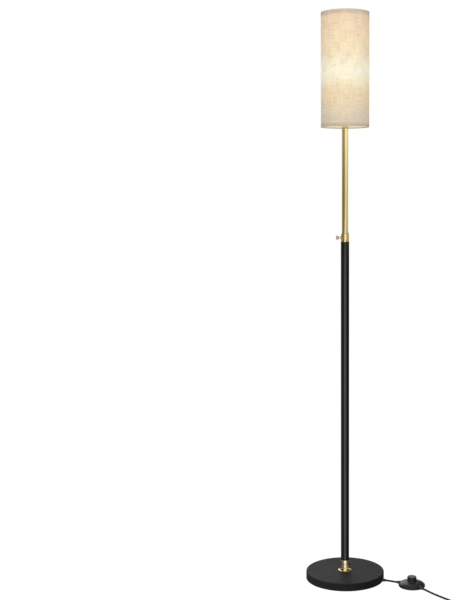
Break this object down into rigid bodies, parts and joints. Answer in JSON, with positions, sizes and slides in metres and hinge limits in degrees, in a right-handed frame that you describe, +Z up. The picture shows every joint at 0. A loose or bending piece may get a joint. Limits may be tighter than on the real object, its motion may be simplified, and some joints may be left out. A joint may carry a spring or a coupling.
{
  "type": "telescopic floor lamp",
  "caption": "Slim floor lamp: weighted round base, black lower pole, sliding brass upper pole with a clamp screw, tall linen drum shade and a foot switch on the cord.",
  "frame": {"origin": "on the floor, under the middle of the round base", "axes": "+Z up along the pole; -Y is the front; the clamp screw points to -X; the cord leaves the base towards +X"},
  "size_m": [0.4776, 0.4283, 1.6806],
  "materials": {
    "black_powder_coat": "fine matt powder coat",
    "weight_iron": "raw casting",
    "soft_pad": "matt foam",
    "zinc_steel": "zinc plated",
    "satin_brass": "satin plated",
    "nylon": "natural nylon",
    "holder_black": "moulded",
    "holder_core": "glazed",
    "contact_brass": "stamped",
    "white_wire": "white lacquer",
    "shade_liner": "translucent film",
    "linen": "slub linen weave",
    "bulb_white": "opal",
    "bulb_cap_metal": "nickel plated",
    "lead_cover": "smooth",
    "cord_black": "matt round cord",
    "switch_black": "fine moulded texture",
    "plug_black": "moulded",
    "tie_black": "nylon strap"
  },
  "bodies": {
    "base_and_lower_pole": {"base_cover": "black_powder_coat", "base_weight": "weight_iron", "base_pad": "soft_pad", "base_washer": "zinc_steel", "base_lock_washer": "zinc_steel", "base_nut": "zinc_steel", "base_nipple": "zinc_steel", "base_coupling": "satin_brass", "cord_bushing": "cord_black", "pole_bottom_insert": "zinc_steel", "lower_pole_bottom_section": "black_powder_coat", "pole_joiner_stud": "zinc_steel", "pole_joiner_socket": "zinc_steel", "lower_pole_top_section": "black_powder_coat", "pole_collar": "satin_brass", "guide_bush": "satin_brass", "lead_lower": "lead_cover", "lead_slack": "lead_cover", "switch_foot_pads": "soft_pad", "switch_housing": "switch_black", "switch_base_plate": "switch_black", "switch_contact_block": "nylon", "switch_spring": "zinc_steel", "switch_screws": "zinc_steel", "switch_strain_reliefs": "cord_black", "cord_base_to_switch": "cord_black", "cord_switch_to_coil": "cord_black", "cord_coil_to_plug": "cord_black", "cord_coil": "cord_black", "cord_tie": "tie_black", "plug_body": "plug_black", "plug_blades": "contact_brass"},
    "clamp_tip": {"clamp_pad": "nylon"},
    "clamp_screw": {"thumbscrew": "satin_brass"},
    "pole_slider": {"end_bush": "nylon"},
    "upper_lamp": {"end_ferrule": "zinc_steel", "upper_pole": "satin_brass", "top_insert": "zinc_steel", "top_nipple": "zinc_steel", "top_lock_nut": "zinc_steel", "lampholder_cap": "holder_black", "lampholder_skirt": "holder_black", "lampholder_core": "holder_core", "lampholder_screw_shell": "contact_brass", "lampholder_center_contact": "contact_brass", "lampholder_terminal_screws": "contact_brass", "shade_ring_nut": "holder_black", "shade_fabric": "linen", "shade_liner": "shade_liner", "shade_hems": "linen", "shade_top_ring": "white_wire", "shade_spider": "white_wire", "bulb_cap": "bulb_cap_metal", "bulb_insulator": "holder_black", "bulb_tip": "contact_brass", "bulb_body": "bulb_white", "bulb_led_board": "bulb_cap_metal", "bulb_globe": "bulb_white", "lead_upper": "lead_cover"},
    "foot_button": {"switch_button": "switch_black"}
  },
  "joints": [
    {"name": "pole_slide", "type": "slide", "parent": "base_and_lower_pole", "child": "pole_slider", "axis": [0, 0, 1], "range_m": [-0.295, 0.06], "deforming": ["lead_slack"]},
    {"name": "pole_swivel", "type": "hinge", "parent": "pole_slider", "child": "upper_lamp", "pos_m": [0, 0, 0.904], "axis": [0, 0, 1], "range_deg": [-170, 170]},
    {"name": "clamp_screw_advance", "type": "slide", "parent": "base_and_lower_pole", "child": "clamp_tip", "axis": [-1, 0, 0], "range_m": [0, 0.00121]},
    {"name": "clamp_screw_turn", "type": "hinge", "parent": "clamp_tip", "child": "clamp_screw", "pos_m": [0, 0, 1.0315], "axis": [-1, 0, 0], "range_deg": [0, 540]},
    {"name": "foot_press", "type": "slide", "parent": "base_and_lower_pole", "child": "foot_button", "axis": [0, 0, -1], "range_m": [0, 0.0035], "stiffness_N_per_m": 900, "springref_m": -0.006, "deforming": ["switch_spring"]}
  ],
  "couplings": [
    {"joint": "clamp_screw_advance", "follows": "clamp_screw_turn", "m_per_rad": 0.00012732}
  ]
}
